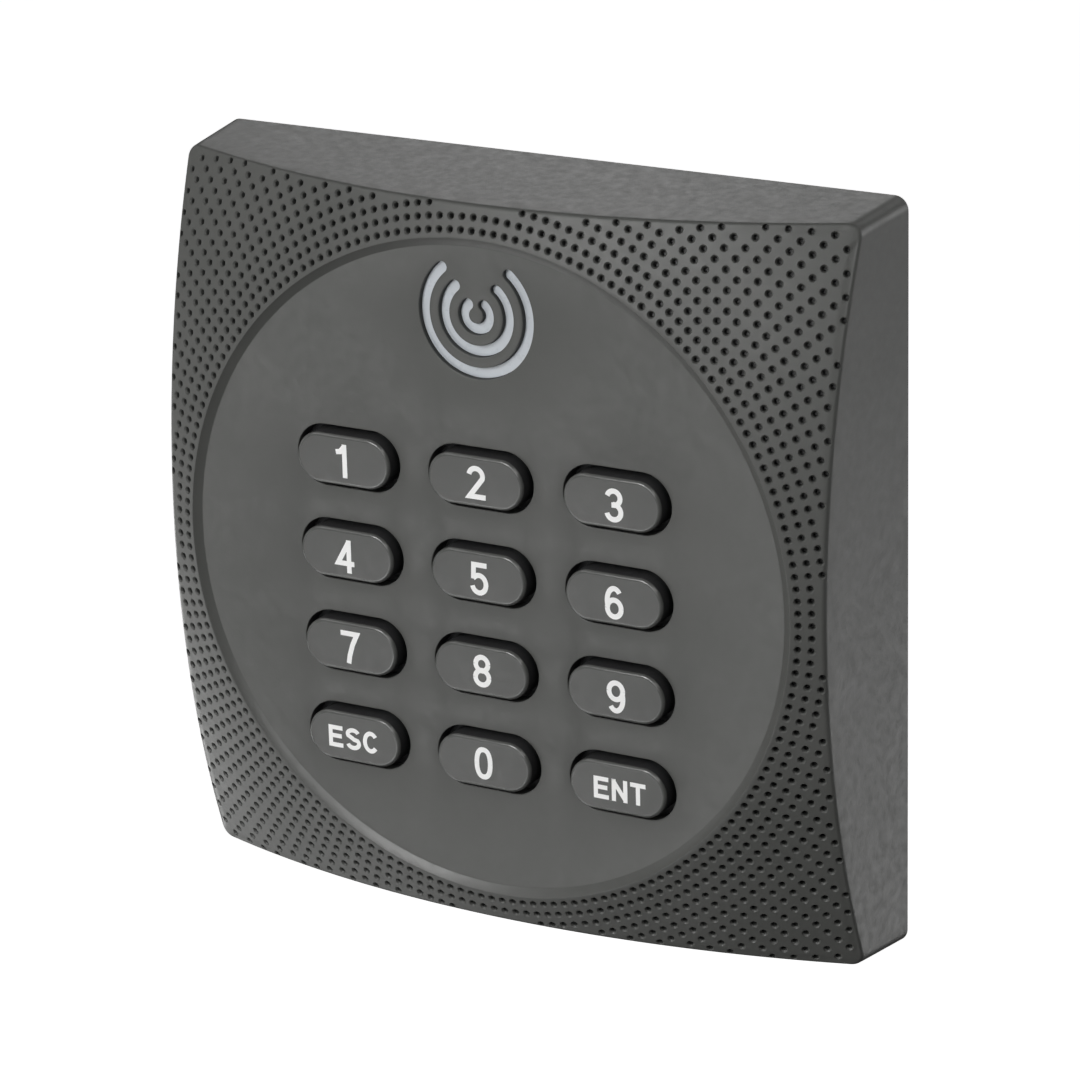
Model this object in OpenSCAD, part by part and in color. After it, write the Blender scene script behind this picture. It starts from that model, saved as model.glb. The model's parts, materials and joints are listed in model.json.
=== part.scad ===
// Wall-mounted RFID card reader with a twelve-key keypad, for a standard 86 mm wall box.
// Frame: +X right, +Z up, front towards -Y. The wall is the plane y = 0, and the origin
// is the centre of the reader's back on that plane.
// Sub-parts are drawn lying on their backs: x and y across the face, z forward from the
// wall. facing() then stands them up.

/* [Faceplate] */
// Width and height of the faceplate at the wall
plate = 86; // [84:0.5:88]
// Slope of the side walls inwards towards the front, in degrees
wall_draft = 4.5; // [2:0.5:4.5]
// Radius of the four upright corner edges at the wall
corner_r = 1.6; // [1:0.1:3]
// Radius of the domed front
dome_r = 125; // [120:1:135]
// How far the domed front would stand from the wall at its centre
dome_top = 24.65; // [24:0.05:25.2]
// Thickness of the moulded walls
shell = 2.0; // [1.6:0.1:2.2]

/* [Keypad disc] */
// Radius of the flat sunken disc
disc_r = 37.2; // [36.5:0.1:37.5]
// Height of the disc's face above the wall
disc_top = 18.1; // [17.8:0.1:18.4]
// Width of the sloping step round the disc
step_w = 0.9; // [0.6:0.1:1.2]

/* [Keys] */
// Distance between key columns
key_pitch_x = 17; // [16:0.5:18]
// Distance between key rows
key_pitch_y = 11; // [10.5:0.5:12]
// Height of the top row's centre above the middle of the face
key_row_1 = 10.85; // [10:0.05:12]
// Length of one key
key_l = 12.0; // [11:0.1:12.6]
// Height of one key
key_h = 5.8; // [5:0.1:6.2]
// How far the keys stand proud of the disc
key_proud = 1.25; // [0.8:0.05:1.4]
// Gap between a key and the edge of its hole
key_gap = 0.65; // [0.4:0.05:0.8]
// How far a key can be pressed
key_travel = 0.8; // [0.5:0.1:0.8]

/* [Signal mark] */
// Height of the mark's centre above the middle of the face
mark_y = 29.35; // [29:0.05:30]
// Radius of the smallest arc
arc_r = 1.55; // [1.4:0.05:1.8]
// Distance from one arc to the next
arc_pitch = 2.48; // [2.3:0.02:2.6]
// Width of the arc-shaped windows
arc_w = 1.3; // [1:0.05:1.3]
// Half of the angle left open at the top of each arc
arc_open = 40; // [35:1:45]

/* [Wall mounting] */
// Distance between the two screws of the wall box
box_pitch = 60.3; // [60:0.1:60.6]
// Width of each screw slot
slot_w = 4.4; // [4.2:0.1:4.8]
// End-to-end length of each screw slot
slot_l = 8.4; // [7:0.2:9]

/* [Hidden] */
$fn = 64;
half = plate / 2;
eps = 0.01;

// Depths above the wall, in order from back to front
bracket_t = 1.5;
cover_back = 4.9;
cover_t = 1.6;
dish_back = 2.0;
gasket_t = 0.6;
ledge_z = cover_back + cover_t + gasket_t;
board_z = 10;
board_t = 1.6;
board_top = board_z + board_t;
mat_t = 0.8;
disc_t = 2.0;
disc_back = disc_top - disc_t;

// Front housing
dome_centre = dome_top - dome_r;
inner_half = half - shell - 0.2;
ledge_half = 38.4;
board_post_x = 31;
board_post_y = 24;
cover_post = 34.3;
post_r = 3.0;
pilot_r = 0.95;
screw_r = 0.92;
hook_w = 9;
hook_x = 22;
lock_z = 3.0;
lock_r = 1.02;

// Keys
flange_w = 1.2;
flange_t = 0.8;
flange_top = disc_back - 0.05;
flange_bottom = flange_top - flange_t;
stem_r = 1.5;
pill_r = 2.0;
pill_t = 0.8;
pill_bottom = board_top + key_travel + 0.1;
crown_t = 0.7;
key_round = 0.45;

// Signal mark
guide_base_r = 8.8;
guide_ear_x = 11.4;
guide_recess = 0.6;
guide_gap = 0.05;

// Wall bracket
bracket_half = 39.6;
bracket_corner = 3.5;
cover_half = 39.6;
dish_half = 24;
gland_y = -13;
gland_r = 6;

BODY = [0.33, 0.33, 0.32];
KEY = [0.36, 0.36, 0.35];
LIGHT = [0.80, 0.84, 0.88];
RUBBER = [0.12, 0.12, 0.13];
BOARD = [0.05, 0.30, 0.14];
GOLD = [0.80, 0.64, 0.28];
COPPER = [0.72, 0.36, 0.16];
CHIP = [0.07, 0.07, 0.08];
STEEL = [0.70, 0.71, 0.72];
WHITE = [0.90, 0.90, 0.88];

// ---------- helpers ----------

// Stands a sub-part up: local z becomes forward, which is -Y
module facing() {
    rotate([90, 0, 0]) children();
}

// Rounded rectangle of full size w by h
module round_rect(w, h, r) {
    square([w - 2 * r, h], center = true);
    square([w, h - 2 * r], center = true);
    for (sx = [-1, 1], sy = [-1, 1])
        translate([sx * (w / 2 - r), sy * (h / 2 - r)]) circle(r);
}

// Slot with round ends, full size l by h, along x
module slot_2d(l, h) {
    square([l - h, h], center = true);
    for (s = [-1, 1]) translate([s * (l - h) / 2, 0]) circle(h / 2);
}

// Arc of a ring open at the top, with round ends a touch wider than the arc
module arc_2d(r, w) {
    difference() {
        circle(r + w / 2);
        circle(r - w / 2);
        polygon([
            [0, 0],
            [-3 * r * sin(arc_open), 3 * r * cos(arc_open)],
            [0, 4 * r],
            [3 * r * sin(arc_open), 3 * r * cos(arc_open)]
        ]);
    }
    for (s = [-1, 1])
        translate([s * r * sin(arc_open), r * cos(arc_open)]) circle(w / 2 + 0.02);
}

// The three arcs of the signal mark, centred on the mark
module mark_arcs(w) {
    for (i = [0 : 2]) arc_2d(arc_r + i * arc_pitch, w);
}

// Square block with drafted sides, half-width w at the wall, from z = 0 up
module drafted_block(w, top) {
    difference() {
        translate([-w - 1, -w - 1, 0]) cube([2 * w + 2, 2 * w + 2, top]);
        for (a = [0, 90, 180, 270])
            rotate([0, 0, a]) translate([w, 0, 0]) rotate([0, -wall_draft, 0])
                translate([0, -1.5 * w, -10]) cube([10, 3 * w, top + 20]);
    }
}

// Places children at one of the twelve key positions
module at_key(i) {
    column = i % 3;
    row = floor(i / 3);
    translate([(column - 1) * key_pitch_x, key_row_1 - row * key_pitch_y, 0]) children();
}

// Places children at the four points (+-x, +-y)
module at_corners(x, y) {
    for (sx = [-1, 1], sy = [-1, 1]) translate([sx * x, sy * y, 0]) children();
}

// Screw along z: pan head of radius hr and thickness ht, sitting at z = 0 with its
// shank of radius sr running up to z = l, and a cross recess in the head
module pan_screw(hr, ht, sr, l) {
    difference() {
        union() {
            translate([0, 0, -ht]) cylinder(r = hr, h = ht);
            cylinder(r = sr, h = l);
        }
        for (a = [0, 90])
            rotate([0, 0, a]) translate([-hr * 0.6, -hr * 0.13, -ht - eps])
                cube([hr * 1.2, hr * 0.26, ht * 0.6]);
    }
}

// ---------- front housing ----------

// Square with rounded corners that narrows towards the front, under the dome
module housing_outer() {
    intersection() {
        linear_extrude(dome_top, scale = 1 - dome_top * tan(wall_draft) / half)
            round_rect(plate, plate, corner_r);
        translate([0, 0, dome_centre]) sphere(dome_r, $fn = 200);
    }
}

module housing_hollow() {
    intersection() {
        translate([0, 0, -1]) drafted_block(inner_half, disc_back + 1);
        translate([0, 0, dome_centre]) sphere(dome_r - shell, $fn = 200);
    }
}

// Ledge inside the walls that the rear gasket and cover sit on
module housing_ledge() {
    difference() {
        translate([0, 0, ledge_z]) linear_extrude(1.8) square(plate - 2, center = true);
        translate([0, 0, ledge_z - 1]) linear_extrude(4)
            round_rect(2 * ledge_half, 2 * ledge_half, 2);
    }
}

// Posts for the board, the rear cover and the light guide
module housing_posts() {
    at_corners(board_post_x, board_post_y) translate([0, 0, board_top])
        cylinder(r = post_r - 0.4, h = 8);
    at_corners(cover_post, cover_post) translate([0, 0, cover_back + cover_t])
        cylinder(r = post_r, h = 12);
    for (s = [-1, 1]) translate([s * guide_ear_x, mark_y, disc_back - 2.4])
        cylinder(r = 0.9, h = 3);
}

module front_housing() {
    color(BODY) facing() difference() {
        housing_outer();
        difference() {
            housing_hollow();
            housing_ledge();
            housing_posts();
        }
        // Sunken disc with its sloping step
        translate([0, 0, disc_top]) cylinder(r = disc_r, h = 8);
        translate([0, 0, disc_top]) cylinder(r1 = disc_r, r2 = disc_r + 2 * step_w, h = 1.3);
        // Key holes and mark windows
        for (i = [0 : 11]) at_key(i) translate([0, 0, disc_back - 1])
            linear_extrude(disc_t + 2) slot_2d(key_l + 2 * key_gap, key_h + 2 * key_gap);
        translate([0, mark_y, disc_back - 1]) linear_extrude(disc_t + 2) mark_arcs(arc_w);
        // Screw holes in the posts
        at_corners(board_post_x, board_post_y) translate([0, 0, board_top - 1])
            cylinder(r = pilot_r, h = 5);
        at_corners(cover_post, cover_post) translate([0, 0, cover_back])
            cylinder(r = pilot_r, h = 6.5);
        // Slots in the top wall for the bracket's hooks
        for (s = [-1, 1]) translate([s * hook_x - hook_w / 2, inner_half - 2, 1.9])
            cube([hook_w, 3.0, 2.2]);
        // Hole and sink in the bottom wall for the locking screw
        translate([0, -half - 1, lock_z]) rotate([-90, 0, 0]) cylinder(r = 1.5, h = 5);
        translate([0, -half - 1, lock_z]) rotate([-90, 0, 0]) cylinder(r = 2.5, h = 2.1);
        // Two drain notches at the foot of the bottom wall
        for (s = [-1, 1]) translate([s * 24 - 3, -half - 1, -1]) cube([6, 5, 1.8]);
    }
}

// ---------- signal mark ----------

module light_guide() {
    color(LIGHT) facing() translate([0, mark_y, 0]) {
        difference() {
            translate([0, 0, disc_back - 1.55]) linear_extrude(1.5) {
                circle(guide_base_r);
                slot_2d(2 * guide_ear_x + 4, 4);
            }
            for (s = [-1, 1]) translate([s * guide_ear_x, 0, disc_back - 3])
                cylinder(r = 0.95, h = 4);
        }
        translate([0, 0, disc_back - 0.3]) linear_extrude(disc_t + 0.3 - guide_recess)
            mark_arcs(arc_w - 2 * guide_gap);
    }
}

// ---------- keys ----------

// Half of the key's cross-section: straight sides with a rounded top edge
module key_profile(w, h) {
    square([w, h - key_round]);
    square([w - key_round, h]);
    translate([w - key_round, h - key_round]) circle(key_round);
}

// Key cap with a rounded top edge, full size l by w and h tall
module key_cap(l, w, h) {
    rotate([90, 0, 90]) translate([0, 0, -(l - w) / 2]) linear_extrude(l - w) {
        key_profile(w / 2, h);
        mirror([1, 0]) key_profile(w / 2, h);
    }
    for (s = [-1, 1]) translate([s * (l - w) / 2, 0, 0])
        rotate_extrude() key_profile(w / 2, h);
}

module key(i) {
    color(KEY) facing() at_key(i) {
        translate([0, 0, flange_top - 0.1]) key_cap(key_l, key_h, disc_top + key_proud - flange_top + 0.1);
        translate([0, 0, flange_bottom]) linear_extrude(flange_t)
            slot_2d(key_l + 2 * flange_w, key_h + 2 * flange_w);
        translate([0, 0, pill_bottom + pill_t]) cylinder(r = stem_r, h = flange_bottom - pill_bottom);
    }
}

module pill(i) {
    color(CHIP) facing() at_key(i) translate([0, 0, pill_bottom]) cylinder(r = pill_r, h = pill_t);
}

// ---------- keypad mat ----------

// Thin-walled rubber cone that carries one key
module mat_cone() {
    crown = flange_bottom - 0.02;
    rotate_extrude() polygon([
        [stem_r + 0.1, crown], [3.1, crown], [4.6, board_top + 0.05 + mat_t],
        [4.6, board_top + 0.05], [3.8, board_top + 0.05], [3.8, board_top + 0.85],
        [2.6, crown - crown_t], [stem_r + 0.1, crown - crown_t]
    ]);
}

module keypad_mat() {
    color(RUBBER) facing() {
        translate([0, 0, board_top + 0.05]) linear_extrude(mat_t) difference() {
            translate([0, key_row_1 - 1.5 * key_pitch_y])
                round_rect(2 * key_pitch_x + 19, 3 * key_pitch_y + 13, 3);
            for (i = [0 : 11]) at_key(i) circle(4.3);
        }
        for (i = [0 : 11]) at_key(i) mat_cone();
    }
}

// ---------- main board ----------

module board_outline() {
    difference() {
        square(70, center = true);
        for (a = [0, 90, 180, 270])
            rotate(a) translate([35, 35]) rotate(45) square([14.2, 30], center = true);
    }
}

module main_board() {
    color(BOARD) facing() translate([0, 0, board_z]) linear_extrude(board_t) difference() {
        board_outline();
        for (sx = [-1, 1], sy = [-1, 1])
            translate([sx * board_post_x, sy * board_post_y]) circle(1.3);
    }
}

module contact_pads() {
    color(GOLD) facing() for (i = [0 : 11]) at_key(i) translate([0, 0, board_top])
        linear_extrude(0.05) difference() {
            circle(2.4);
            square([0.5, 6], center = true);
        }
}

module status_leds() {
    color(WHITE) facing() for (s = [-1, 0, 1]) translate([s * 4.4, mark_y - abs(s) * 0.6, 0]) {
        translate([-1.6, -0.8, board_top]) cube([3.2, 1.6, 0.6]);
        translate([-1.0, -0.8, board_top + 0.6]) cube([2.0, 1.6, 0.7]);
    }
}

// Flat coil of enamelled wire under the board, with its two lead-outs
module antenna_coil() {
    color(COPPER) facing() translate([0, 0, board_z - 2.6]) {
        rotate_extrude($fn = 128) translate([30.6, 0]) round_rect_profile(3.2, 2.5, 0.6);
        for (s = [-1, 1]) translate([s * 1.2, -27, 2.3]) rotate([90, 0, 0])
            cylinder(r = 0.25, h = 4.2);
    }
}

// Rounded rectangle of full size w by h with its corner at the origin
module round_rect_profile(w, h, r) {
    translate([w / 2, h / 2]) round_rect(w, h, r);
}

// Chip with a body w by l by h and n legs on each long side, hanging under the board
module gull_chip(w, l, h, n, leg) {
    translate([-w / 2, -l / 2, board_z - 0.15 - h]) cube([w, l, h]);
    for (i = [0 : n - 1], s = [-1, 1])
        translate([s * (w / 2 + 0.45), (i - (n - 1) / 2) * leg, board_z - 0.6])
            cube([1.1, leg * 0.4, 1.16], center = true);
}

module reader_chip() {
    color(CHIP) facing() translate([-9, 12, 0]) gull_chip(3.9, 8.6, 1.4, 7, 1.27);
}

module control_chip() {
    color(CHIP) facing() translate([8, 13, 0]) gull_chip(5.3, 7.2, 1.5, 10, 0.65);
}

module voltage_regulator() {
    color(CHIP) facing() translate([17, -1, 0]) {
        translate([-3.25, -1.75, board_z - 1.7]) cube([6.5, 3.5, 1.6]);
        for (x = [-2.3, 0, 2.3]) translate([x - 0.35, -3.5, board_z - 1.0]) cube([0.7, 1.8, 0.98]);
        translate([-1.5, 1.7, board_z - 1.0]) cube([3, 1.8, 0.98]);
    }
}

// Low metal can of a crystal, a slot shape on a thin base
module crystal() {
    color(STEEL) facing() translate([0, 20, 0]) {
        translate([0, 0, board_z - 0.5]) linear_extrude(0.48) slot_2d(10.6, 4.6);
        translate([0, 0, board_z - 3.4]) linear_extrude(3) slot_2d(9.8, 3.8);
    }
}

// Small two-ended chip part, w by l by h, hanging under the board
module chip_part(w, l, h) {
    translate([-w / 2, -l / 2, board_z - h - 0.02]) cube([w, l, h]);
}

module chip_resistors() {
    color(CHIP) facing() for (i = [0 : 5]) translate([-16, 4 + i * 2.4, 0])
        chip_part(2, 1.25, 0.5);
}

module chip_capacitors() {
    color([0.62, 0.48, 0.34]) facing() for (i = [0 : 3]) translate([16, 8 + i * 2.6, 0])
        chip_part(2, 1.25, 0.8);
}

// Two cans, each with a square foot and a crimped waist
module electrolytic_caps() {
    color(STEEL) facing() for (y = [-9, -17]) translate([13.5, y, 0]) {
        translate([-3.3, -3.3, board_z - 0.7]) cube([6.6, 6.6, 0.68]);
        translate([0, 0, board_z - 1.6]) cylinder(r = 3.1, h = 1);
        translate([0, 0, board_z - 2.2]) cylinder(r = 2.9, h = 0.8);
        translate([0, 0, board_z - 5.6]) cylinder(r = 3.1, h = 3.5);
    }
}

module surge_diodes() {
    color(CHIP) facing() for (y = [-10, -15]) translate([20.2, y, 0]) {
        translate([-2.15, -1.3, board_z - 2.2]) cube([4.3, 2.6, 2.1]);
        translate([-2.7, -0.8, board_z - 0.3]) cube([5.4, 1.6, 0.28]);
    }
}

// Round sounder with a hole in its face
module buzzer() {
    color(CHIP) facing() translate([-14.5, -12, 0]) difference() {
        translate([0, 0, board_z - 5.52]) cylinder(r = 6, h = 5.5);
        translate([0, 0, board_z - 6]) cylinder(r = 1.2, h = 2.2);
    }
}

// Eight-way socket for the wires, open towards the back
module wire_socket() {
    color(WHITE) facing() translate([0, 2, 0]) difference() {
        translate([-9.2, -2.9, board_z - 5.5]) cube([18.4, 5.8, 5.48]);
        translate([-8.3, -2.1, board_z - 6]) cube([16.6, 3.6, 5.1]);
        for (s = [-1, 1]) translate([s * 5 - 1, 1.2, board_z - 6]) cube([2, 3, 3]);
    }
}

module socket_pins() {
    color(GOLD) facing() for (i = [0 : 7]) translate([-7 + i * 2, 1.6, 0])
        translate([-0.25, -0.25, board_z - 4.3]) cube([0.5, 0.5, 3.38]);
}

module board_screws() {
    color(STEEL) facing() at_corners(board_post_x, board_post_y) translate([0, 0, board_z])
        pan_screw(2.2, 1.3, screw_r, board_t + 3.5);
}

// ---------- rear cover ----------

module rear_gasket() {
    color(RUBBER) facing() translate([0, 0, cover_back + cover_t]) linear_extrude(gasket_t)
        difference() {
            round_rect(2 * cover_half, 2 * cover_half, 2);
            round_rect(2 * ledge_half + 0.4, 2 * ledge_half + 0.4, 2);
        }
}

module rear_cover() {
    color(BODY) facing() difference() {
        union() {
            translate([0, 0, cover_back]) linear_extrude(cover_t)
                round_rect(2 * cover_half, 2 * cover_half, 2.5);
            translate([0, 0, dish_back]) linear_extrude(cover_back - dish_back + 0.1)
                round_rect(2 * dish_half, 2 * dish_half, 4);
        }
        translate([0, 0, dish_back + 1.6]) linear_extrude(6)
            round_rect(2 * dish_half - 3.2, 2 * dish_half - 3.2, 2.6);
        translate([0, gland_y, dish_back - 1]) cylinder(r = gland_r, h = 4);
        at_corners(cover_post, cover_post) {
            translate([0, 0, cover_back - 1]) cylinder(r = 1.3, h = 4);
            translate([0, 0, cover_back - 1]) cylinder(r = 2.6, h = 1.7);
        }
    }
}

// Rubber ring that the wires pass through, grooved to snap into the cover
module cable_grommet() {
    color(RUBBER) facing() translate([0, gland_y, 0]) rotate_extrude() polygon([
        [4.0, 0.9], [6.8, 0.9], [7.6, 1.4], [7.6, 1.98], [5.97, 1.98], [5.97, 3.62],
        [7.4, 3.62], [7.4, 4.2], [6.8, 4.6], [4.0, 4.6], [3.4, 4.0], [3.4, 1.5]
    ]);
}

module cover_screws() {
    color(STEEL) facing() at_corners(cover_post, cover_post) translate([0, 0, cover_back + 0.7])
        pan_screw(2.3, 1.2, screw_r, 5);
}

module rating_label() {
    color(WHITE) facing() translate([0, 10, dish_back - 0.12]) linear_extrude(0.12)
        round_rect(34, 17, 1);
}

// ---------- wall bracket ----------

module wall_bracket() {
    color(STEEL) facing() {
        linear_extrude(bracket_t) difference() {
            round_rect(2 * bracket_half, 2 * bracket_half, bracket_corner);
            round_rect(42, 46, 4);
            for (s = [-1, 1]) translate([s * box_pitch / 2, 0]) slot_2d(slot_l, slot_w);
            for (s = [-1, 1]) translate([0, s * box_pitch / 2]) circle(slot_w / 2);
            at_corners(29, 29) circle(1.8);
        }
        // Hooks for the top wall
        for (s = [-1, 1]) {
            translate([s * hook_x - 4, bracket_half - 1.5, bracket_t - eps]) cube([8, 1.5, 1.9]);
            translate([s * hook_x - 4, bracket_half - 0.1, 2.2]) cube([8, 1.7, bracket_t - 0.31]);
        }
        // Threaded tab for the locking screw
        difference() {
            translate([-6, -bracket_half, bracket_t - eps]) cube([12, 1.8, 3.1]);
            translate([0, -bracket_half - 1, lock_z]) rotate([-90, 0, 0])
                cylinder(r = lock_r + 0.03, h = 4);
        }
    }
}

// Flat-headed screw with a hexagon socket, driven in from below
module locking_screw() {
    color(STEEL) facing() translate([0, -half + 0.3, lock_z]) rotate([-90, 0, 0]) difference() {
        union() {
            cylinder(r = 2.2, h = 0.8);
            cylinder(r = lock_r, h = 5.8);
        }
        translate([0, 0, -1]) linear_extrude(1.5) circle(0.9, $fn = 6);
    }
}

// ---------- assembly ----------

front_housing();
light_guide();
key(0);  // key_1
key(1);  // key_2
key(2);  // key_3
key(3);  // key_4
key(4);  // key_5
key(5);  // key_6
key(6);  // key_7
key(7);  // key_8
key(8);  // key_9
key(9);  // key_esc
key(10);  // key_0
key(11);  // key_ent
pill(0);  // pill_1
pill(1);  // pill_2
pill(2);  // pill_3
pill(3);  // pill_4
pill(4);  // pill_5
pill(5);  // pill_6
pill(6);  // pill_7
pill(7);  // pill_8
pill(8);  // pill_9
pill(9);  // pill_esc
pill(10);  // pill_0
pill(11);  // pill_ent
keypad_mat();
main_board();
contact_pads();
status_leds();
antenna_coil();
reader_chip();
control_chip();
voltage_regulator();
crystal();
chip_resistors();
chip_capacitors();
electrolytic_caps();
surge_diodes();
buzzer();
wire_socket();
socket_pins();
board_screws();
rear_gasket();
rear_cover();
cable_grommet();
cover_screws();
rating_label();
wall_bracket();
locking_screw();
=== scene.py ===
import json
import math

import bmesh
import bpy
from mathutils import Matrix, Vector, geometry

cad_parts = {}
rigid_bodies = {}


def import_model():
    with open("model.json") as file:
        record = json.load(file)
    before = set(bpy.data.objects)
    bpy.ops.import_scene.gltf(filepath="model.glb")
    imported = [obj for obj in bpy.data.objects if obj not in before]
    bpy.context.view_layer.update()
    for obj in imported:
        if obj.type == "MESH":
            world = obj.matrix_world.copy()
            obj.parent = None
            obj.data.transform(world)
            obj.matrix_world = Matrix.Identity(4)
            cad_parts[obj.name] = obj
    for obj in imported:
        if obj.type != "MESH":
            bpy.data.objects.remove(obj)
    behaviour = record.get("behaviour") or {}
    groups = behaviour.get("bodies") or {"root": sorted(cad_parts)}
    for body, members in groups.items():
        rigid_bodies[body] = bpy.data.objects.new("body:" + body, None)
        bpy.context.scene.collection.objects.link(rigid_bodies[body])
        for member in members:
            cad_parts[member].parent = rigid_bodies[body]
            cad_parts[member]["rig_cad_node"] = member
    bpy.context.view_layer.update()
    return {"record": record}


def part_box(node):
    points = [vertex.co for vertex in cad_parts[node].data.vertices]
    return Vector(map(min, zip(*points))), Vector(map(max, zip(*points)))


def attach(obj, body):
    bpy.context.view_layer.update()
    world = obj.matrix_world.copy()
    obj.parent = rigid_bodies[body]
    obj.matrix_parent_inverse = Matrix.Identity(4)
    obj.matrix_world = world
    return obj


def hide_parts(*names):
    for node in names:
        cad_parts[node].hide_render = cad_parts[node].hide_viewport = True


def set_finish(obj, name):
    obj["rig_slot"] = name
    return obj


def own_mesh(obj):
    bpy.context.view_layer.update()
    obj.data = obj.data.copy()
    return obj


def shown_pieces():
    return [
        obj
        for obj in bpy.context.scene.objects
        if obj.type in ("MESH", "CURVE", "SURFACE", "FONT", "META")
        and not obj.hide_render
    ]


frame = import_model()

# Sizes are in millimetres and heights are measured forward from the wall, as in the CAD.
MM = 0.001
SHARP_DEG = 32

# Housing: drafted walls, the dome, the rounded edge between them, the rim and the inside
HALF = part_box("front_housing")[1].x / MM
DRAFT = math.radians(4.5)
CORNER_R = 1.6
DOME_R = 125.0
DOME_CENTRE = -100.35
EDGE_R = 0.7
RIM_BEVEL = 0.1
INNER_HALF = 40.8
INNER_CORNER = 1.2
INNER_DOME_R = 123.0
INNER_SHOULDER = 0.6
LIP_TOP = 8.0

# Drain notches in the rim's lower side
NOTCH_X = 24
NOTCH_HALF = 3
NOTCH_DEPTH = 0.8

# Disc: the flat middle of the front, which lies below the dome by a sloping step
DISC_TOP = 18.1
DISC_BACK = 16.1
DISC_BACK_R = 36.2
STEP_R = 37.08
STEP_W = 0.94
HOLE_BEVEL = 0.14

# How finely the housing's surface is divided, and how far columns crowd to the corners
COLUMNS = 720
CROWDING = 0.15
DOME_ROWS = 30
EDGE_STEPS = 6
WALL_ROWS = 8
LIP_ROWS = 5
INNER_ROWS = 7
HOLE_POINTS = 64

# Dimples: rings of holes. A peg cuts one, with (radius, height above the dome) for its rings,
# and its walls get painted shade, a darker grey, between two depths below the dome.
RING_FIRST = 38.9
RING_PITCH = 1.4
RINGS = 14
SPOKES = 180
PEG = [(0.55, 0.08), (0.47, 0.0), (0.39, -0.09), (0.31, -0.20), (0.26, -0.34), (0.22, -0.85)]
PEG_SIDES = 16
PEG_MARGIN = 0.3
DIMPLE_REACH = 0.6
SHADE_FROM, SHADE_TO = 0.2, 1.0
WALL_BAND = 0.3

# Finishes of the housing's and the keys' faces, where 0 is the main one
# The housing's darker finish is painted shade in the dimples and the walls of the disc's holes
DISC_FINISH, STEP_FINISH, PAINTED_SHADE_FINISH = 1, 2, 3
# The keys' sides are black: painted shade in the gap round each key
SHADED_SIDE_FINISH, EDGE_FINISH = 1, 2

# Posts inside the housing: radius, back and front, and their place across and up
SCREW_HOLE_R = 0.95
BOARD_POST = (2.6, 11.6, 16.4)
BOARD_POST_AT = (31, 24)
COVER_POST = (3.0, 6.5, 12.4)
COVER_POST_AT = (34.3, 34.3)
GUIDE_PIN = (0.9, 13.7, 16.3)
GUIDE_PIN_X = 11.4
POST_SIDES, PIN_SIDES = 24, 20

# Locking screw's hole through the lower wall: outside, the sink's floor and inside, going up
LOCK_DEPTH = 3.0
LOCK_R = 1.5
LOCK_SINK_R = 2.5
LOCK_LEVELS = (-46.0, -41.9, -38.0)
LOCK_SIDES = 40

# Keys: slot-shaped caps with a flange behind the disc and a stem
KEY_NAMES = ["1", "2", "3", "4", "5", "6", "7", "8", "9", "esc", "0", "ent"]
KEY_L, KEY_H = 12.0, 5.8
KEY_GAP = 0.65
KEY_TOP = -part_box("key_1")[0].y / MM
KEY_EDGE = 0.36
KEY_POINTS = 96
FLANGE = 1.2
FLANGE_BACK, FLANGE_FRONT = 15.25, 16.05
STEM_R = 1.5
STEM_BACK, STEM_FRONT = 13.3, 15.3

# Keypad mat: a sheet with a hollow cone under each key, which has a roof with a round hole
MAT_BASE = 11.65
MAT_T = 0.8
MAT_CORNER = 3
CONE_R = 4.6
CONE_H = 3.58
CONE_WALL = 0.8
ROOF_T = 0.7
ROOF_R, ROOF_HOLE_R = 3.0, 1.6
CONE_GAP = 0.02
CONE_SIDES = 64

# Legends: ink that stands a little proud of the keys
LEGEND_T = 0.012
LEGEND_SUNK = 0.03
DIGIT_STROKE = 0.6
LETTER_STROKE = 0.52
LETTER_PITCH = 2.3

# Mark: three arcs about one centre, open at the top
MARK_Y = 29.35
ARCS = [1.55, 4.03, 6.51]
ARC_W = 1.3
ARC_OPEN = math.radians(40)

# Studio, in metres and degrees: softboxes, floor and camera
SOFTBOX = 0.3
SOFTBOX_AWAY = 0.75
AIM = Vector((0, -0.009, 0))
FLOOR_R = 3.0
FLOOR_DROP = 0.6
SWEEP_R = 1.0
BACKDROP_TOP = 4.0
CAMERA_LENS = 152.53
CAMERA_AT = (0.24498, -0.42474, 0.16722)
CAMERA_AZIMUTH, CAMERA_ELEVATION, CAMERA_ROLL = 30.306, 19.019, -1.513


def at(x, z, depth):
    """A point from across, up and forward-of-the-wall millimetres to the frame's metres."""
    return (x * MM, -depth * MM, z * MM)


# ---------- mesh helpers ----------

def make_object(name, verts, faces, sharp_deg=SHARP_DEG):
    """A mesh object with outward normals, smooth shaded apart from edges over sharp_deg."""
    mesh = bpy.data.meshes.new(name)
    mesh.from_pydata(verts, [], faces)
    obj = bpy.data.objects.new(name, mesh)
    bpy.context.scene.collection.objects.link(obj)
    bm = bmesh.new()
    bm.from_mesh(mesh)
    bmesh.ops.remove_doubles(bm, verts=bm.verts, dist=1e-7)
    bmesh.ops.recalc_face_normals(bm, faces=bm.faces)
    finish_bmesh(bm, mesh, sharp_deg)
    return obj


def finish_bmesh(bm, mesh, sharp_deg=SHARP_DEG):
    """Writes bm to mesh with smooth faces and sharp edges marked by angle."""
    limit = math.radians(sharp_deg)
    for face in bm.faces:
        face.smooth = True
    for edge in bm.edges:
        edge.smooth = len(edge.link_faces) == 2 and edge.calc_face_angle(0) < limit
    bm.to_mesh(mesh)
    bm.free()


def bake_modifiers(obj):
    """Applies obj's modifiers to its mesh and marks the sharp edges again."""
    graph = bpy.context.evaluated_depsgraph_get()
    baked = bpy.data.meshes.new_from_object(obj.evaluated_get(graph))
    obj.modifiers.clear()
    obj.data = baked
    bm = bmesh.new()
    bm.from_mesh(baked)
    finish_bmesh(bm, baked)


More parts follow.
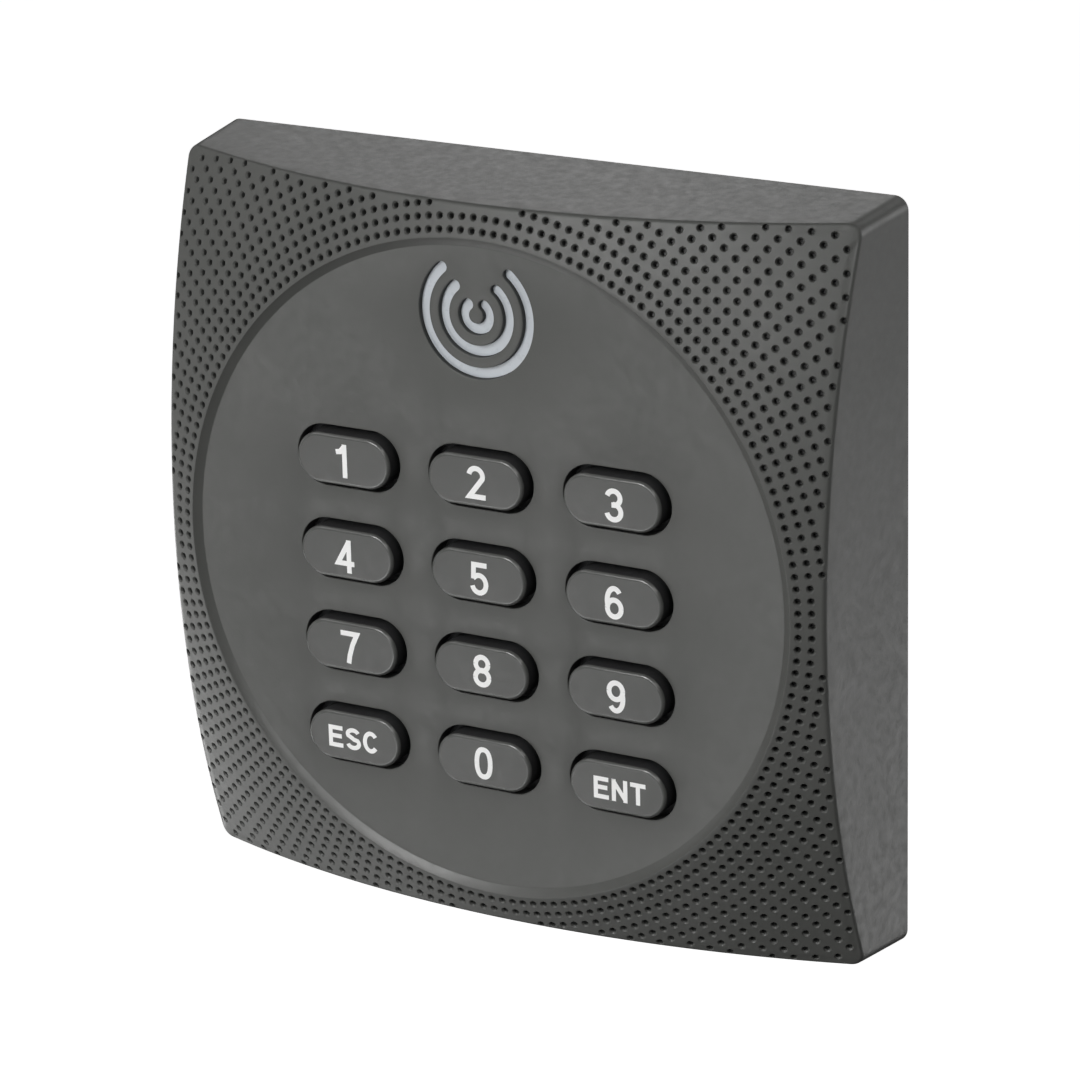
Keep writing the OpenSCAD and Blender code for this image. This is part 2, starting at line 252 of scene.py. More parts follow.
def cut(obj, cutter):
    """Subtracts cutter from obj and removes it."""
    modifier = obj.modifiers.new("cut", "BOOLEAN")
    modifier.operation = "DIFFERENCE"
    modifier.solver = "MANIFOLD"
    modifier.object = cutter
    bake_modifiers(obj)
    bpy.data.objects.remove(cutter, do_unlink=True)


def turns(count):
    """Angles of count equal steps round a circle."""
    return [2 * math.pi * k / count for k in range(count)]


def lathe(rings, centre, segments, verts, faces, closed=True):
    """Adds a turned solid to verts and faces: rings are (radius, height) pairs about an
    axis that points forward through centre (x, z). Closed joins the last ring to the first."""
    base = len(verts)
    for radius, depth in rings:
        for a in turns(segments):
            verts.append(at(centre[0] + radius * math.cos(a),
                            centre[1] + radius * math.sin(a), depth))
    stitch(faces, base, len(rings), segments, closed)
    if not closed:
        cap_ends(faces, base, len(rings), segments)


def stitch(faces, base, rows, columns, closed):
    """Quads between successive rows of points that each run round a loop."""
    for j in range(rows if closed else rows - 1):
        low, high = base + j * columns, base + ((j + 1) % rows) * columns
        for k in range(columns):
            n = (k + 1) % columns
            faces.append([low + k, low + n, high + n, high + k])


def cap_ends(faces, base, rows, columns):
    """Closes the first and the last row of a stitched solid with one face each."""
    for start in (base, base + (rows - 1) * columns):
        faces.append(list(range(start, start + columns)))


# ---------- outlines ----------

def slot_loop(length, height, count):
    """Points round a slot with round ends, along x, about the origin."""
    r = height / 2
    straight = length / 2 - r
    points = []
    for k in range(count):
        a = 2 * math.pi * (k + 0.5) / count
        shift = straight if math.cos(a) > 0 else -straight
        points.append((shift + r * math.cos(a), r * math.sin(a)))
    return points


def arc_loop(radius, width):
    """Points round a ring's arc that is open at the top and has round ends."""
    half = width / 2
    start, end = math.pi / 2 + ARC_OPEN, 2.5 * math.pi - ARC_OPEN
    steps = 72
    points = []
    for k in range(steps + 1):
        a = start + (end - start) * k / steps
        points.append(((radius + half) * math.cos(a), (radius + half) * math.sin(a)))
    points += arc_cap(radius, half, end, 1)
    for k in range(steps + 1):
        a = end - (end - start) * k / steps
        points.append(((radius - half) * math.cos(a), (radius - half) * math.sin(a)))
    points += arc_cap(radius, half, start, -1)
    return points


def arc_cap(radius, half, angle, side):
    """Points round one end of an arc, from its outer edge to its inner one or back."""
    cx, cy = radius * math.cos(angle), radius * math.sin(angle)
    first = angle if side > 0 else angle + math.pi
    count = 10
    steps = [first + math.pi * k / count for k in range(1, count)]
    return [(cx + half * math.cos(a), cy + half * math.sin(a)) for a in steps]


def outline_reach(angle, half, corner):
    """Distance from the middle to a rounded square along angle, and the cosine of the
    angle between that direction and the outline's normal, which is kept above 0.3."""
    c, s = abs(math.cos(angle)), abs(math.sin(angle))
    big, small = max(c, s), min(c, s)
    reach = half / big
    if reach * small <= half - corner:
        return reach, big
    inner = half - corner
    dot = (c + s) * inner
    reach = dot + math.sqrt(max(dot * dot - 2 * inner * inner + corner * corner, 0))
    normal = ((reach * c - inner) / corner, (reach * s - inner) / corner)
    return reach, max(c * normal[0] + s * normal[1], 0.3)


def wall_reach(angle, depth):
    """The outer wall's distance from the middle at a height above the wall."""
    half = HALF - math.tan(DRAFT) * depth
    return outline_reach(angle, half, CORNER_R * half / HALF)


def dome(radius, sphere=DOME_R):
    """Height of the dome, or of a sphere inside it, at a distance from the middle."""
    return math.sqrt(sphere * sphere - radius * radius) + DOME_CENTRE


def column_angle(k):
    """Angles round the face, closer together near the corners."""
    u = 2 * math.pi * k / COLUMNS
    return u + CROWDING * math.sin(4 * u)


# ---------- front housing ----------

def front_edge(angle):
    """Where the dome and the side wall would meet without the rounded edge. Each turn of the
    loop takes the wall's reach at the last height and the dome's height at that reach."""
    depth = 15.0
    for _ in range(12):
        reach, cosine = wall_reach(angle, depth)
        depth = dome(reach)
    return reach, depth, cosine


def edge_arc(angle):
    """Rounded edge from the dome to the wall, as (radius, height) points."""
    reach, depth, cosine = front_edge(angle)
    slope = math.atan(reach / (depth - DOME_CENTRE) * cosine)
    inward = Vector((-math.cos(slope), math.sin(slope)))
    back = Vector((math.sin(DRAFT), -math.cos(DRAFT)))
    half_angle = math.acos(max(-1, min(1, inward.dot(back)))) / 2
    centre = (inward + back).normalized() * (EDGE_R / math.sin(half_angle))
    tangent = EDGE_R / math.tan(half_angle)
    first = math.atan2(*(inward * tangent - centre).yx)
    last = math.atan2(*(back * tangent - centre).yx)
    points = []
    for k in range(EDGE_STEPS + 1):
        t = first + (last - first) * k / EDGE_STEPS
        p = centre + Vector((math.cos(t), math.sin(t))) * EDGE_R
        points.append((reach + p.x / cosine, depth + p.y))
    return points


def shell_profile(angle):
    """One column of the housing from the disc's edge, over the front, down the wall,
    round the rim and up the inside to the back of the disc."""
    points = step_profile()
    start = points[-1][0]
    arc = edge_arc(angle)
    end = arc[0][0]
    for j in range(1, DOME_ROWS):
        r = start + (end - start) * j / DOME_ROWS
        points.append((r, dome(r)))
    points += arc
    top = arc[-1][1]
    rim = rim_height(angle)
    for j in range(1, WALL_ROWS + 1):
        depth = top + (rim + RIM_BEVEL - top) * j / WALL_ROWS
        points.append((wall_reach(angle, depth)[0], depth))
    points.append((wall_reach(angle, 0)[0] - RIM_BEVEL, rim))
    points += inner_profile(angle, rim)
    return points


def step_profile():
    """The sloping step from the disc up to the dome. Both of its edges are rounded by a few
    hundredths of a millimetre, so that they look crisp."""
    end = STEP_R + STEP_W
    top = dome(end)
    return [(STEP_R - 0.1, DISC_TOP), (STEP_R - 0.03, DISC_TOP + 0.01),
            (STEP_R + 0.04, DISC_TOP + 0.045), (end - 0.07, top - 0.055),
            (end - 0.02, top - 0.012), (end + 0.04, dome(end + 0.04))]


def rim_height(angle):
    """The rim is flat on the wall but for two drain notches in its lower side."""
    x = HALF * math.cos(angle) / max(abs(math.sin(angle)), 0.2)
    in_notch = math.sin(angle) < -0.5 and abs(abs(x) - NOTCH_X) < NOTCH_HALF
    return NOTCH_DEPTH if in_notch else 0.0


def inner_profile(angle, rim):
    """The inside of one column: up the wall, over the inner dome and in to the disc."""
    points = []
    for j in range(LIP_ROWS + 1):
        depth = rim + (LIP_TOP - rim) * j / LIP_ROWS
        half = INNER_HALF - math.tan(DRAFT) * depth
        points.append((outline_reach(angle, half, INNER_CORNER)[0], depth))
    reach = outline_reach(angle, INNER_HALF - INNER_SHOULDER, INNER_CORNER)[0]
    points.append((reach, min(dome(reach, INNER_DOME_R), DISC_BACK) - 0.01))
    for j in range(1, INNER_ROWS):
        r = reach + (DISC_BACK_R - reach) * j / INNER_ROWS
        points.append((r, min(dome(r, INNER_DOME_R), DISC_BACK)))
    points.append((DISC_BACK_R, DISC_BACK))
    return points


def disc_holes(inset):
    """Loops of the key holes and mark windows, each grown by inset."""
    loops = []
    for name in KEY_NAMES:
        x, z = key_centre(name)
        grown = 2 * (KEY_GAP + inset)
        loop = slot_loop(KEY_L + grown, KEY_H + grown, HOLE_POINTS)
        loops.append([(x + p[0], z + p[1]) for p in loop])
    for radius in ARCS:
        loops.append([(p[0], MARK_Y + p[1]) for p in arc_loop(radius, ARC_W + 2 * inset)])
    return loops


def key_centre(name):
    """Where the middle of a key is, across and up."""
    low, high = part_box("key_" + name)
    return (low.x + high.x) / 2 / MM, (low.z + high.z) / 2 / MM


def inside(point, loop):
    """Whether a point lies inside a closed loop of points."""
    x, y = point
    hit = False
    for (x1, y1), (x2, y2) in zip(loop, loop[1:] + loop[:1]):
        if (y1 > y) != (y2 > y) and x < (x2 - x1) * (y - y1) / (y2 - y1) + x1:
            hit = not hit
    return hit


def plate_faces(outer, holes):
    """Triangles of a flat plate with holes, over the points of its loops in order."""
    points = [Vector(p) for p in outer]
    edges = [(k, (k + 1) % len(outer)) for k in range(len(outer))]
    for loop in holes:
        base = len(points)
        points += [Vector(p) for p in loop]
        edges += [(base + k, base + (k + 1) % len(loop)) for k in range(len(loop))]
    made = geometry.delaunay_2d_cdt(points, edges, [], 1, 1e-6)
    order = [index[0] for index in made[3]]
    boxes = [(min(p[0] for p in h), max(p[0] for p in h),
              min(p[1] for p in h), max(p[1] for p in h)) for h in holes]
    kept = []
    for face in made[2]:
        centre = sum((made[0][v] for v in face), Vector((0, 0))) / len(face)
        in_hole = any(b[0] < centre.x < b[1] and b[2] < centre.y < b[3]
                      and inside(centre, h) for b, h in zip(boxes, holes))
        if not in_hole:
            kept.append([order[v] for v in face])
    return kept


def housing_shell():
    """The dome, walls and inside as one closed surface with the disc's holes."""
    angles = [column_angle(k) for k in range(COLUMNS)]
    columns = [shell_profile(a) for a in angles]
    rows = len(columns[0])
    verts, faces = [], []
    for j in range(rows):
        for a, column in zip(angles, columns):
            r, depth = column[j]
            verts.append(at(r * math.cos(a), r * math.sin(a), depth))
    stitch(faces, 0, rows, COLUMNS, False)
    add_disc(verts, faces, angles, columns, rows)
    return verts, faces


def add_disc(verts, faces, angles, columns, rows):
    """Front and back of the disc, and the edges of its holes between them."""
    levels = [(HOLE_BEVEL, DISC_TOP), (0.04, DISC_TOP - 0.04), (0.0, DISC_TOP - HOLE_BEVEL),
              (0.0, DISC_BACK)]
    starts = []
    for inset, depth in levels:
        loops = disc_holes(inset)
        starts.append([])
        for loop in loops:
            starts[-1].append(len(verts))
            verts += [at(p[0], p[1], depth) for p in loop]
    sizes = [len(loop) for loop in disc_holes(0)]
    for upper, lower in zip(starts, starts[1:]):
        for a, b, n in zip(upper, lower, sizes):
            for k in range(n):
                m = (k + 1) % n
                faces.append([a + k, a + m, b + m, b + k])
    for row, level, inset in ((0, 0, HOLE_BEVEL), (rows - 1, len(levels) - 1, 0.0)):
        outer = [(c[row][0] * math.cos(a), c[row][0] * math.sin(a))
                 for a, c in zip(angles, columns)]
        index = list(range(row * COLUMNS, (row + 1) * COLUMNS))
        for start, n in zip(starts[level], sizes):
            index += range(start, start + n)
        for face in plate_faces(outer, disc_holes(inset)):
            faces.append([index[v] for v in face])


def dimple_cutter():
    """A field of small flared pegs on rings round the disc, as far as the front edge."""
    verts, faces = [], []
    for i in range(RINGS):
        r = RING_FIRST + i * RING_PITCH
        for a in turns(SPOKES):
            margin = PEG_MARGIN / max(abs(math.cos(a)), abs(math.sin(a)))
            if r <= front_edge(a)[0] - margin:
                add_peg(verts, faces, r, a)
    return make_object("dimples", verts, faces)


def add_peg(verts, faces, r, angle):
    """One peg along the dome's normal at radius r."""
    lean = math.asin(r / DOME_R)
    axis = Vector((math.sin(lean) * math.cos(angle), math.sin(lean) * math.sin(angle),
                   math.cos(lean)))
    foot = Vector((r * math.cos(angle), r * math.sin(angle), dome(r)))
    u = Vector((-math.sin(angle), math.cos(angle), 0))
    v = axis.cross(u)
    base = len(verts)
    for radius, height in PEG:
        for t in turns(PEG_SIDES):
            p = foot + axis * height + (u * math.cos(t) + v * math.sin(t)) * radius
            verts.append(at(p.x, p.y, p.z))
    stitch(faces, base, len(PEG), PEG_SIDES, False)
    cap_ends(faces, base, len(PEG), PEG_SIDES)


def housing_posts(verts, faces):
    """Posts inside the housing for the board, the cover and the light guide."""
    pin_r, pin_back, pin_front = GUIDE_PIN
    for sx in (-1, 1):
        for sz in (-1, 1):
            for (r, back, front), (x, z) in ((BOARD_POST, BOARD_POST_AT),
                                             (COVER_POST, COVER_POST_AT)):
                rings = [(r, back), (r, front), (SCREW_HOLE_R, front), (SCREW_HOLE_R, back)]
                lathe(rings, (x * sx, z * sz), POST_SIDES, verts, faces)
        lathe([(pin_r, pin_back), (pin_r, pin_front)], (GUIDE_PIN_X * sx, MARK_Y), PIN_SIDES,
              verts, faces, closed=False)


def lock_cutter():
    """The locking screw's hole and sink through the lower wall."""
    verts, faces = [], []
    outside, sink_floor, within = LOCK_LEVELS
    rings = [(LOCK_SINK_R, outside), (LOCK_SINK_R, sink_floor), (LOCK_R, sink_floor),
             (LOCK_R, within)]
    for radius, z in rings:
        for a in turns(LOCK_SIDES):
            verts.append(at(radius * math.cos(a), z, LOCK_DEPTH + radius * math.sin(a)))
    stitch(faces, 0, len(rings), LOCK_SIDES, False)
    cap_ends(faces, 0, len(rings), LOCK_SIDES)
    return make_object("lock_cut", verts, faces)


def build_housing():
    """The front housing with its dimples, its locking screw's hole and its posts."""
    verts, faces = housing_shell()
    obj = make_object("housing", verts, faces)
    cut(obj, dimple_cutter())
    cut(obj, lock_cutter())
    add_posts(obj)
    mark_finishes(obj)
    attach(obj, "reader")
    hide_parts("front_housing")
    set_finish(obj, "housing_plastic")


def mark_finishes(obj):
    """Marks the faces of the disc and its step. The walls of the disc's holes and the deep
    part of the dimples get painted shade, but not the outer wall beside the outermost dimples."""
    for face in obj.data.polygons:
        x, y, z = (v / MM for v in face.center)
        r, depth = math.hypot(x, z), -y
        if r < STEP_R and depth > DISC_BACK + 0.2:
            on_top = depth > DISC_TOP - HOLE_BEVEL + 0.01
            face.material_index = DISC_FINISH if on_top else PAINTED_SHADE_FINISH
        elif r < STEP_R + STEP_W and depth > DISC_TOP:
            face.material_index = STEP_FINISH
        # The deep part of each dimple gets painted shade
        elif r > RING_FIRST - DIMPLE_REACH and dome(r) - SHADE_TO < depth < dome(r) - SHADE_FROM:
            outward = face.normal.x * x + face.normal.z * z > 0
            at_wall = wall_reach(math.atan2(z, x), depth)[0] - r < WALL_BAND
            face.material_index = 0 if at_wall and outward else PAINTED_SHADE_FINISH


def add_posts(obj):
    """Joins the inner posts to the housing's mesh."""
    verts, faces = [], []
    housing_posts(verts, faces)
    posts = make_object("posts", verts, faces)
    bm = bmesh.new()
    bm.from_mesh(obj.data)
    bm.from_mesh(posts.data)
    finish_bmesh(bm, obj.data)
    bpy.data.objects.remove(posts, do_unlink=True)


# ---------- keys ----------

def cap_profile():
    """Inset and height of the key's rings, from under its flange to its crown."""
    rings = [(-FLANGE, FLANGE_BACK), (-FLANGE, FLANGE_FRONT - 0.1),
             (0.1 - FLANGE, FLANGE_FRONT), (0.0, FLANGE_FRONT), (0.0, KEY_TOP - KEY_EDGE)]
    steps = 6
    for k in range(1, steps + 1):
        a = math.pi / 2 * k / steps
        rings.append((KEY_EDGE * (1 - math.cos(a)), KEY_TOP - KEY_EDGE * (1 - math.sin(a))))
    return rings


def build_key(name):
    """A key cap with its stem, and finishes of their own for its sides, which are black as
    painted shade in the gap round the key, and for its rounded edge.
    """
    x, z = key_centre(name)
    verts, faces = [], []
    rings = cap_profile()
    for inset, depth in rings:
        loop = slot_loop(KEY_L - 2 * inset, KEY_H - 2 * inset, KEY_POINTS)
        verts += [at(x + p[0], z + p[1], depth) for p in loop]
    stitch(faces, 0, len(rings), KEY_POINTS, False)
    cap_ends(faces, 0, len(rings), KEY_POINTS)
    lathe([(STEM_R, STEM_FRONT), (STEM_R, STEM_BACK)], (x, z), POST_SIDES, verts, faces,
          closed=False)
    obj = make_object("keycap_" + name, verts, faces)
    edge_start = -(KEY_TOP - KEY_EDGE + 0.01) * MM
    crown = -(KEY_TOP - 0.01) * MM
    for face in obj.data.polygons:
        depths = [obj.data.vertices[v].co.y for v in face.vertices]
        if min(depths) > edge_start:
            face.material_index = SHADED_SIDE_FINISH
        elif max(depths) > crown:
            face.material_index = EDGE_FINISH
    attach(obj, "button_" + name)
    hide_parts("key_" + name)
    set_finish(obj, "key_plastic")


# ---------- keypad mat ----------

def build_mat():
    """The rubber mat: a sheet round the cones, and a thin cone under each key."""
    low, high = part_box("keypad_mat")
    half_x, half_z = (high.x - low.x) / 2 / MM, (high.z - low.z) / 2 / MM
    mid = ((high.x + low.x) / 2 / MM, (high.z + low.z) / 2 / MM)
    outer = [(x + mid[0], z + mid[1]) for x, z in round_rect_loop(half_x, half_z, MAT_CORNER)]
    holes = []
    r = CONE_R + CONE_GAP
    for name in KEY_NAMES:
        x, z = key_centre(name)
        holes.append([(x + r * math.cos(a), z + r * math.sin(a)) for a in turns(CONE_SIDES)])
    flat = plate_faces(outer, holes)
    points = [Vector(p) for p in outer + [p for hole in holes for p in hole]]
    web = make_slab("mat_web", points, flat, (0, 0), MAT_BASE, MAT_BASE + MAT_T)
    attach(web, "reader")
    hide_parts("keypad_mat")
    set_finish(web, "mat_rubber")
    for name in KEY_NAMES:
        build_cone(name)


def round_rect_loop(half_x, half_z, r):
    """Points round a rectangle with rounded corners, about the origin."""
    steps = 8
    points = []
    for k, (sx, sz) in enumerate(((1, 1), (-1, 1), (-1, -1), (1, -1))):
        for j in range(steps + 1):
            a = math.pi / 2 * (k + j / steps)
            points.append((sx * (half_x - r) + r * math.cos(a),
                           sz * (half_z - r) + r * math.sin(a)))
    return points


def build_cone(name):
    """A thin-walled cone that carries a key, built in its rest shape."""
    crown = MAT_BASE + CONE_H
    top = MAT_BASE + MAT_T
    profile = [(ROOF_HOLE_R, crown), (ROOF_R, crown), (ROOF_R + 0.15, crown - 0.12),
               (CONE_R - 0.05, top + 0.05), (CONE_R, top - 0.05), (CONE_R, MAT_BASE),
               (CONE_R - CONE_WALL, MAT_BASE), (CONE_R - CONE_WALL, top),
               (ROOF_R - 0.4, crown - ROOF_T), (ROOF_HOLE_R, crown - ROOF_T)]
    verts, faces = [], []
    lathe(profile, key_centre(name), CONE_SIDES, verts, faces)
    obj = make_object("mat_cone_" + name, verts, faces)
    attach(obj, "reader")
    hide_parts("keypad_mat")
    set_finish(obj, "mat_rubber")
    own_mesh(obj)


# ---------- legends ----------

def bow(cx, cy, rx, ry, first, last, steps=20, power=1.0):
    """Points along an ellipse's arc, in degrees anticlockwise from the right."""
    points = []
    for k in range(steps + 1):
        a = math.radians(first + (last - first) * k / steps)
        c, s = math.cos(a), math.sin(a)
        points.append((cx + rx * math.copysign(abs(c) ** power, c),
                       cy + ry * math.copysign(abs(s) ** power, s)))
    return points


def digit_strokes(name):
    """Centre lines of a digit 3.9 tall, about its own centre."""
    strokes = {
        "0": [bow(0, 0, 0.86, 1.62, 0, 360, 40, 0.85)],
        "1": [[(0.24, 1.95), (0.24, -1.95)], [(-0.86, 1.0), (-0.3, 1.08), (0.16, 1.62)]],
        "2": [bow(0, 0.78, 0.85, 0.84, 172, -22) + [(-0.85, -1.62), (1.18, -1.62)]],
        "3": [bow(0.02, 0.82, 0.79, 0.8, 165, -90) + [(-0.25, 0.02)],
              bow(0.02, -0.76, 0.86, 0.86, 96, -168)],
        "4": [[(0.30, -1.95), (0.30, 1.95)], [(0.32, 1.75), (-1.14, -0.82), (0.98, -0.82)]],
        "5": [[(1.04, 1.62), (-0.62, 1.62), (-0.68, -0.05)],
              [(-0.72, 0.0)] + bow(0.02, -0.6, 0.88, 1.02, 128, -165)],
        "6": [bow(0.03, -0.66, 0.85, 0.96, 0, 360, 32),
              bow(0.05, 0.16, 0.88, 1.46, 42, 200)],
        "7": [[(-1.22, 1.62), (0.92, 1.62), (0.30, 0.3), (-0.10, -1.0), (-0.26, -1.95)]],
        "8": [bow(0.03, 0.82, 0.78, 0.8, 0, 360, 32), bow(0.03, -0.77, 0.86, 0.85, 0, 360, 32)],
    }
    if name == "9":
        return [[(-x, -y) for x, y in line] for line in digit_strokes("6")]
    return strokes[name]


def letter_strokes(letter):
    """Centre lines of a letter 2.6 tall, about its own centre."""
    strokes = {
        "e": [[(0.92, 1.04), (-0.68, 1.04), (-0.68, -1.04), (0.95, -1.04)],
              [(-0.68, 0.06), (0.78, 0.06)]],
        "s": [bow(0, 0.56, 0.7, 0.5, 20, 200) + [(-0.1, 0.1), (0.1, -0.04)]
              + bow(0.02, -0.5, 0.74, 0.56, 40, -165)],
        "c": [bow(0.05, 0, 0.78, 1.06, 38, 322, 30)],
        "n": [[(-0.72, -1.3), (-0.72, 1.3)], [(-0.72, 1.02), (0.72, -1.02)],
              [(0.72, -1.3), (0.72, 1.3)]],
        "t": [[(-0.96, 1.04), (0.96, 1.04)], [(0, 1.2), (0, -1.3)]],
    }
    return strokes[letter]


def legend_strokes(name):
    """Centre lines and stroke width of a key's whole legend."""
    if len(name) == 1:
        return digit_strokes(name), DIGIT_STROKE
    lines = []
    for k, letter in enumerate(name):
        shift = (k - 1) * LETTER_PITCH
        lines += [[(x + shift, y) for x, y in line] for line in letter_strokes(letter)]
    return lines, LETTER_STROKE


def ribbon(line, width):
    """Outline of a stroke of constant width with square ends along a centre line."""
    runs = [Vector(b) - Vector(a) for a, b in zip(line, line[1:])]
    left, right = [], []
    for k, point in enumerate(line):
        u, v = runs[max(k - 1, 0)].normalized(), runs[min(k, len(runs) - 1)].normalized()
        side = Vector((-(u + v).y, (u + v).x)).normalized()
        reach = side * (width / 2 / max(side.dot(Vector((-u.y, u.x))), 0.4))
        left.append((point[0] + reach.x, point[1] + reach.y))
        right.append((point[0] - reach.x, point[1] - reach.y))
    return left + right[::-1]


def stroke_loops(line, width):
    """Closed outlines of one stroke. A line that ends where it starts is cut in two."""
    if math.dist(line[0], line[-1]) > 0.01:
        return [ribbon(line, width)]
    half = len(line) // 2
    return [ribbon(line[:half + 1], width), ribbon(line[half:], width)]


# How far each legend was printed off its key's centre, across and up
PRINT_SHIFT = {"2": (0.14, -0.06), "3": (0.27, -0.18), "4": (0, -0.2), "5": (0.12, -0.2),
               "6": (0.07, -0.3), "8": (0.14, 0), "9": (0.11, -0.2), "esc": (-0.13, -0.1),
               "ent": (0.28, -0.2)}


def build_legend(name):
    """The printed legend on a key: a thin layer of ink in the shape of its strokes."""
    x, z = key_centre(name)
    across, up = PRINT_SHIFT.get(name, (0, 0))
    x, z = x + across, z + up
    lines, width = legend_strokes(name)
    loops = [loop for line in lines for loop in stroke_loops(line, width)]
    points = [Vector(p) for loop in loops for p in loop]
    edges, start = [], 0
    for loop in loops:
        edges += [(start + k, start + (k + 1) % len(loop)) for k in range(len(loop))]
        start += len(loop)
    made = geometry.delaunay_2d_cdt(points, edges, [], 0, 1e-5)
    faces = []
    for face in made[2]:
        centre = sum((made[0][v] for v in face), Vector((0, 0))) / len(face)
        if any(inside(centre, loop) for loop in loops):
            faces.append(list(face))
    obj = make_slab("legend_" + name, made[0], faces, (x, z), KEY_TOP - LEGEND_SUNK,
                    KEY_TOP + LEGEND_T)
    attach(obj, "button_" + name)
    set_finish(obj, "key_plastic")


def make_slab(name, points, faces, centre, back, front):
    """A flat plate of any outline between two heights, from its flat faces."""
    used = sorted({v for face in faces for v in face})
    index = {v: k for k, v in enumerate(used)}
    count = len(used)
    verts = []
    for depth in (back, front):
        verts += [at(centre[0] + points[v].x, centre[1] + points[v].y, depth) for v in used]
    sides = {}
    slab = []
    for face in faces:
        f = [index[v] for v in face]
        slab.append(f[::-1])
        slab.append([v + count for v in f])
        for a, b in zip(f, f[1:] + f[:1]):
            if sides.pop((b, a), None) is None:
                sides[(a, b)] = True
    slab += [[a, b, b + count, a + count] for a, b in sides]
    return make_object(name, verts, slab)


# ---------- materials ----------

def nodes_of(mat):
    """Turns a material's nodes on and gives the nodes, the links and the shader."""
    mat.use_nodes = True
    tree = mat.node_tree
    return tree.nodes, tree.links, tree.nodes["Principled BSDF"]


def ramp(nodes, links, source, low, high):
    """A colour that follows a factor from one (position, colour) stop to another."""
    node = nodes.new("ShaderNodeValToRGB")
    for element, (position, colour) in zip(node.color_ramp.elements, (low, high)):
        element.position = position
        element.color = (*colour, 1)
    links.new(source, node.inputs["Fac"])
    return node.outputs["Color"]


def value_ramp(nodes, links, source, low, high):
    """A number that follows a factor between two values."""
    return ramp(nodes, links, source, (0.3, (low,) * 3), (0.7, (high,) * 3))


def noise(nodes, links, scale, detail):
    """Noise over object space, with scale in cycles per metre."""
    coords = nodes.new("ShaderNodeTexCoord")
    node = nodes.new("ShaderNodeTexNoise")
    node.inputs["Scale"].default_value = scale
    node.inputs["Detail"].default_value = detail
    node.inputs["Roughness"].default_value = 0.6
    links.new(coords.outputs["Object"], node.inputs["Vector"])
    return node.outputs["Fac"]


def bump(nodes, links, height, strength, distance, under=None):
    """Relief of a height, distance in metres, on top of another relief or none."""
    node = nodes.new("ShaderNodeBump")
    node.inputs["Strength"].default_value = strength
    node.inputs["Distance"].default_value = distance
    links.new(height, node.inputs["Height"])
    if under is not None:
        links.new(under, node.inputs["Normal"])
    return node.outputs["Normal"]


def moulded(name, tones, rough=(0.42, 0.52), grain=2600, depth=0.00003, specular=0.5):
    """Moulded plastic: a fine spark-eroded grain, faint blotches and uneven gloss."""
    mat = bpy.data.materials.new(name)
    nodes, links, shader = nodes_of(mat)
    blotch = noise(nodes, links, 55, 5)
    links.new(ramp(nodes, links, blotch, (0.3, tones[0]), (0.7, tones[1])),
              shader.inputs["Base Color"])
    gloss = noise(nodes, links, 900, 3)
    links.new(value_ramp(nodes, links, gloss, *rough), shader.inputs["Roughness"])
    fine = bump(nodes, links, noise(nodes, links, grain, 3), 0.5, depth)
    links.new(bump(nodes, links, noise(nodes, links, 160, 3), 0.25, depth * 2, fine),
              shader.inputs["Normal"])
    shader.inputs["Specular IOR Level"].default_value = specular
    return mat


def metal(name, tones, rough=(0.28, 0.45), scale=700):
    """Plated or rolled metal with mottled tone and fine scratches."""
    mat = bpy.data.materials.new(name)
    nodes, links, shader = nodes_of(mat)
    shader.inputs["Metallic"].default_value = 1.0
    mottle = noise(nodes, links, scale, 6)
    links.new(ramp(nodes, links, mottle, (0.35, tones[0]), (0.65, tones[1])),
              shader.inputs["Base Color"])
    links.new(value_ramp(nodes, links, noise(nodes, links, scale * 2, 4), *rough),
              shader.inputs["Roughness"])
    links.new(bump(nodes, links, noise(nodes, links, 4000, 2), 0.2, 0.00001),
              shader.inputs["Normal"])
    return mat


def galvanised():
    """Zinc-coated sheet: crystal flakes a few millimetres wide that differ a little."""
    mat = bpy.data.materials.new("galvanised")
    nodes, links, shader = nodes_of(mat)
    shader.inputs["Metallic"].default_value = 0.85
    coords = nodes.new("ShaderNodeTexCoord")
    flakes = nodes.new("ShaderNodeTexVoronoi")
    flakes.inputs["Scale"].default_value = 420
    links.new(coords.outputs["Object"], flakes.inputs["Vector"])
    flake = flakes.outputs["Color"]
    links.new(ramp(nodes, links, flake, (0.2, (0.56, 0.57, 0.58)), (0.8, (0.61, 0.62, 0.63))),
              shader.inputs["Base Color"])
    links.new(ramp(nodes, links, flake, (0.2, (0.44,) * 3), (0.8, (0.48,) * 3)),
              shader.inputs["Roughness"])
    links.new(bump(nodes, links, noise(nodes, links, 1500, 3), 0.15, 0.00001),
              shader.inputs["Normal"])
    return mat


def ink():
    """White print with a slightly uneven tone."""
    tones = (0.94, 0.94, 0.93), (0.98, 0.98, 0.97)
    return moulded("ink", tones, rough=(0.4, 0.5), grain=5000, depth=0.000006)


def window():
    """Milky light guide with a soft inner glow."""
    tones = (0.51, 0.545, 0.58), (0.60, 0.635, 0.67)
    mat = moulded("window", tones, rough=(0.25, 0.35), grain=3000, depth=0.000006)
    shader = mat.node_tree.nodes["Principled BSDF"]
    shader.inputs["Subsurface Weight"].default_value = 0.3
    shader.inputs["Subsurface Radius"].default_value = (0.001, 0.001, 0.001)
    return mat


def paint(obj, *mats):
    """Puts materials on obj and keeps which face uses which."""
    kept = [face.material_index for face in obj.data.polygons]
    obj.data.materials.clear()
    for mat in mats:
        obj.data.materials.append(mat)
    for face, index in zip(obj.data.polygons, kept):
        face.material_index = min(index, len(mats) - 1)


